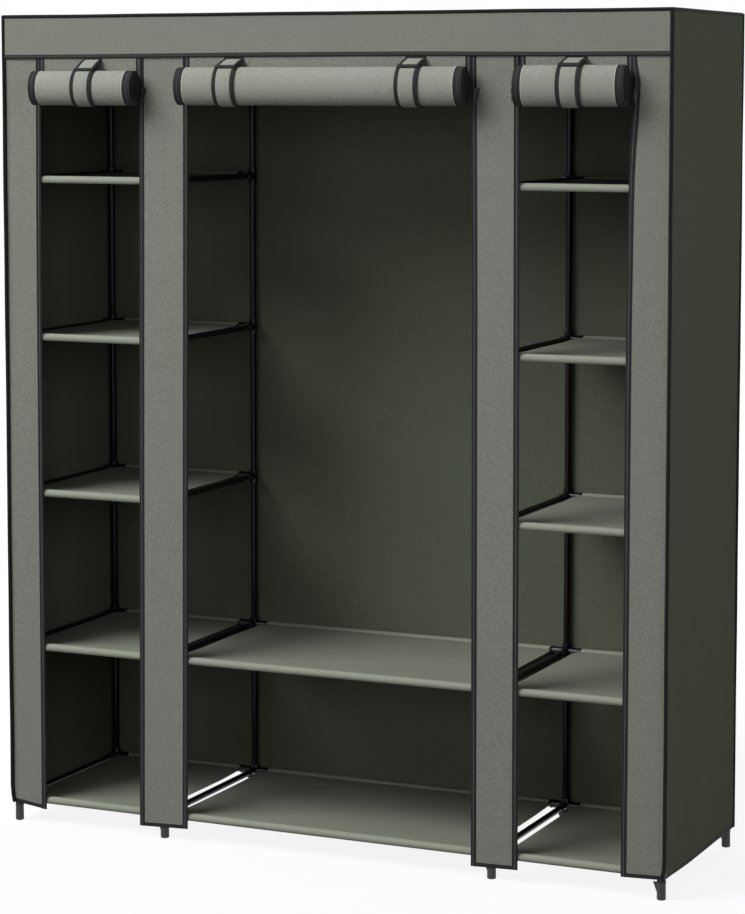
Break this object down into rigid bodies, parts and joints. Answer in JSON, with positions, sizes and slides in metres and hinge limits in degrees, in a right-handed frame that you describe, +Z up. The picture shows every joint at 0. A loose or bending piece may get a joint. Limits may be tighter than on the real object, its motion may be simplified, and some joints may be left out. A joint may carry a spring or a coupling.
{
  "type": "portable fabric wardrobe",
  "caption": "Free-standing fabric wardrobe with a tube frame, cloth shelves, a hanging rod and a sewn cover whose doors roll up behind straps.",
  "frame": {"origin": "on the floor, in the middle of the space that the wardrobe takes up with its doors rolled up", "axes": "+Z up, +X to the right seen from the front, +Y to the back; the doors face -Y"},
  "size_m": [1.5, 0.5058, 1.75],
  "materials": {
    "cover_cloth": "matt non-woven cloth with dark bindings",
    "shelf_cloth": "matt non-woven cloth",
    "tube": "gloss black powder coat, with black plastic connectors and feet",
    "slider_metal": "black painted zip slider"
  },
  "bodies": {
    "root": {"post_front_outer_left": "tube", "post_back_outer_left": "tube", "post_front_inner_left": "tube", "post_back_inner_left": "tube", "post_front_inner_right": "tube", "post_back_inner_right": "tube", "post_front_outer_right": "tube", "post_back_outer_right": "tube", "level_1_frame": "tube", "level_2_frame": "tube", "level_3_left_frame": "tube", "level_3_right_frame": "tube", "level_4_left_frame": "tube", "level_4_right_frame": "tube", "level_5_left_frame": "tube", "level_5_right_frame": "tube", "level_6_frame": "tube", "hanging_rod": "tube", "shelf_left_1": "shelf_cloth", "shelf_right_1": "shelf_cloth", "shelf_left_2": "shelf_cloth", "shelf_right_2": "shelf_cloth", "shelf_left_3": "shelf_cloth", "shelf_right_3": "shelf_cloth", "shelf_left_4": "shelf_cloth", "shelf_right_4": "shelf_cloth", "shelf_left_5": "shelf_cloth", "shelf_right_5": "shelf_cloth", "shelf_middle_1": "shelf_cloth", "shelf_middle_2": "shelf_cloth", "cover_top": "cover_cloth", "cover_back": "cover_cloth", "cover_left_side": "cover_cloth", "cover_right_side": "cover_cloth", "cover_header_band": "cover_cloth", "cover_front_strip_1": "cover_cloth", "cover_front_strip_2": "cover_cloth", "cover_front_strip_3": "cover_cloth", "cover_front_strip_4": "cover_cloth", "left_door_curtain": "cover_cloth", "left_roll_strap": "cover_cloth", "middle_door_curtain": "cover_cloth", "middle_roll_strap_1": "cover_cloth", "middle_roll_strap_2": "cover_cloth", "right_door_curtain": "cover_cloth", "right_roll_strap": "cover_cloth"},
    "left_door": {"left_door_roll": "cover_cloth"},
    "left_strap_tab": {"left_strap_tab": "cover_cloth"},
    "middle_door": {"middle_door_roll": "cover_cloth"},
    "middle_strap_tab_1": {"middle_strap_tab_1": "cover_cloth"},
    "middle_strap_tab_2": {"middle_strap_tab_2": "cover_cloth"},
    "right_door": {"right_door_roll": "cover_cloth"},
    "right_strap_tab": {"right_strap_tab": "cover_cloth"},
    "left_door_slider_left": {"left_door_slider_left": "slider_metal"},
    "left_door_slider_right": {"left_door_slider_right": "slider_metal"},
    "middle_door_slider_left": {"middle_door_slider_left": "slider_metal"},
    "middle_door_slider_right": {"middle_door_slider_right": "slider_metal"},
    "right_door_slider_left": {"right_door_slider_left": "slider_metal"},
    "right_door_slider_right": {"right_door_slider_right": "slider_metal"}
  },
  "joints": [
    {"name": "left_door_drop", "type": "slide", "parent": "root", "child": "left_door", "axis": [-0.0075, 0, -1], "range_m": [0, 1.515], "deforming": ["left_door_curtain", "left_roll_strap"]},
    {"name": "middle_door_drop", "type": "slide", "parent": "root", "child": "middle_door", "axis": [-0.0003, 0, -1], "range_m": [0, 1.516], "deforming": ["middle_door_curtain", "middle_roll_strap_1", "middle_roll_strap_2"]},
    {"name": "right_door_drop", "type": "slide", "parent": "root", "child": "right_door", "axis": [-0.0035, 0, -1], "range_m": [0, 1.515], "deforming": ["right_door_curtain", "right_roll_strap"]},
    {"name": "left_strap_tab_flap", "type": "hinge", "parent": "root", "child": "left_strap_tab", "pos_m": [-0.52985, -0.2009, 1.657], "axis": [-1, 0, 0], "range_deg": [0, 100]},
    {"name": "middle_strap_tab_1_flap", "type": "hinge", "parent": "root", "child": "middle_strap_tab_1", "pos_m": [-0.19494, -0.2009, 1.657], "axis": [-1, 0, 0], "range_deg": [0, 100]},
    {"name": "middle_strap_tab_2_flap", "type": "hinge", "parent": "root", "child": "middle_strap_tab_2", "pos_m": [0.21233, -0.2009, 1.657], "axis": [-1, 0, 0], "range_deg": [0, 100]},
    {"name": "right_strap_tab_flap", "type": "hinge", "parent": "root", "child": "right_strap_tab", "pos_m": [0.55317, -0.2009, 1.657], "axis": [-1, 0, 0], "range_deg": [0, 100]},
    {"name": "left_door_slider_left_run", "type": "slide", "parent": "root", "child": "left_door_slider_left", "axis": [-0.0035, 0, -1], "range_m": [0, 1.53]},
    {"name": "left_door_slider_right_run", "type": "slide", "parent": "root", "child": "left_door_slider_right", "axis": [-0.0076, 0, -1], "range_m": [0, 1.53]},
    {"name": "middle_door_slider_left_run", "type": "slide", "parent": "root", "child": "middle_door_slider_left", "axis": [-0.0076, 0, -1], "range_m": [0, 1.53]},
    {"name": "middle_door_slider_right_run", "type": "slide", "parent": "root", "child": "middle_door_slider_right", "axis": [0.0028, 0, -1], "range_m": [0, 1.53]},
    {"name": "right_door_slider_left_run", "type": "slide", "parent": "root", "child": "right_door_slider_left", "axis": [0.0021, 0, -1], "range_m": [0, 1.53]},
    {"name": "right_door_slider_right_run", "type": "slide", "parent": "root", "child": "right_door_slider_right", "axis": [-0.0044, 0, -1], "range_m": [0, 1.53]}
  ]
}
